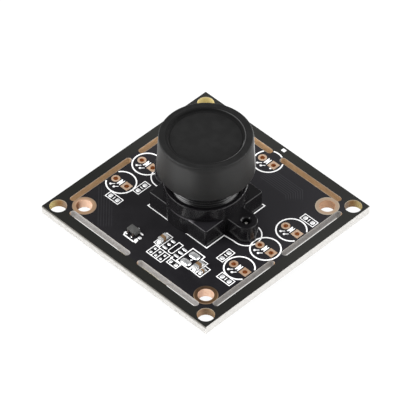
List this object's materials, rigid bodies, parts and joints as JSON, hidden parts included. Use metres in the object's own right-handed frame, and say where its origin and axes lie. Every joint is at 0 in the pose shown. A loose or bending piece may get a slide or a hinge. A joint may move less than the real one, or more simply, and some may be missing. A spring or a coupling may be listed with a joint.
{
  "type": "camera module",
  "caption": "Square black camera circuit board with a screw-in lens under a push-on cap, corner mounting holes, routed slots and side-entry wire connectors on the back.",
  "frame": {"origin": "centre of the corner hole pattern on the board's back face, on the lens axis", "axes": "+Z is the way the lens looks, square to the board; +X runs through the two ears of the lens holder; +Y points at the side with the single lamp footprint"},
  "size_m": [0.0378, 0.0378, 0.0212],
  "materials": {
    "solder_mask": "satin black solder mask over glass-fibre board",
    "copper": "plated copper, slightly dull",
    "holder_plastic": "moulded black nylon, satin gloss",
    "screw_steel": "zinc-plated steel",
    "sensor_silicon": "dark polished silicon in a black carrier",
    "optical_glass": "polished and coated glass",
    "filter_glass": "coated filter glass with a pink sheen",
    "anodised_black": "black anodised aluminium",
    "blackened_ring": "matt blackened metal",
    "cap_rubber": "soft black vinyl with a faint grain",
    "moulded_epoxy": "moulded black epoxy",
    "tinned_lead": "bright tin plating",
    "capacitor_ceramic": "fired tan ceramic",
    "resistor_glaze": "black glaze over white ceramic",
    "crystal_ceramic": "dark ceramic base",
    "crystal_can": "brushed nickel lid",
    "ferrite": "pressed grey ferrite",
    "tantalum_epoxy": "moulded yellow epoxy",
    "connector_nylon": "natural off-white nylon"
  },
  "bodies": {
    "board": {"circuit_board": "solder_mask", "mounting_hole_rings": "copper", "lamp_pads": "copper", "lens_holder": "holder_plastic", "holder_screws": "screw_steel", "image_sensor": "sensor_silicon", "sensor_glass": "optical_glass", "transistor_body": "moulded_epoxy", "transistor_leads": "tinned_lead", "front_capacitor_bodies": "capacitor_ceramic", "front_capacitor_ends": "tinned_lead", "processor": "moulded_epoxy", "processor_leads": "tinned_lead", "memory_chip": "moulded_epoxy", "memory_chip_leads": "tinned_lead", "crystal_base": "crystal_ceramic", "crystal_lid": "crystal_can", "power_inductor": "ferrite", "inductor_terminals": "tinned_lead", "regulator_bodies": "moulded_epoxy", "regulator_leads": "tinned_lead", "tantalum_capacitor": "tantalum_epoxy", "tantalum_terminals": "tinned_lead", "back_capacitor_bodies": "capacitor_ceramic", "back_capacitor_ends": "tinned_lead", "back_resistor_bodies": "resistor_glaze", "back_resistor_ends": "tinned_lead", "signal_connector_housing": "connector_nylon", "signal_connector_pins": "tinned_lead", "lamp_connector_housing": "connector_nylon", "lamp_connector_pins": "tinned_lead", "microphone_connector_housing": "connector_nylon", "microphone_connector_pins": "tinned_lead", "connector_tabs": "tinned_lead"},
    "glass": {"infrared_filter": "filter_glass", "rear_element": "optical_glass", "middle_element": "optical_glass", "second_element": "optical_glass", "front_element": "optical_glass"},
    "barrel": {"lens_barrel": "anodised_black", "rear_spacer": "blackened_ring", "aperture_stop": "blackened_ring", "middle_spacer": "blackened_ring", "front_spacer": "blackened_ring", "retaining_ring": "blackened_ring"},
    "cap": {"lens_cap": "cap_rubber"}
  },
  "joints": [
    {"name": "focus_travel", "type": "slide", "parent": "board", "child": "glass", "axis": [0, 0, 1], "range_m": [-0.0005, 0.001]},
    {"name": "focus_turn", "type": "hinge", "parent": "glass", "child": "barrel", "pos_m": [0, 0, 0.01], "axis": [0, 0, 1], "range_deg": [-360, 720]},
    {"name": "cap_pull", "type": "slide", "parent": "barrel", "child": "cap", "axis": [0, 0, 1], "range_m": [0, 0.012]}
  ],
  "couplings": [
    {"joint": "focus_travel", "follows": "focus_turn", "m_per_rad": 0.000079577}
  ]
}
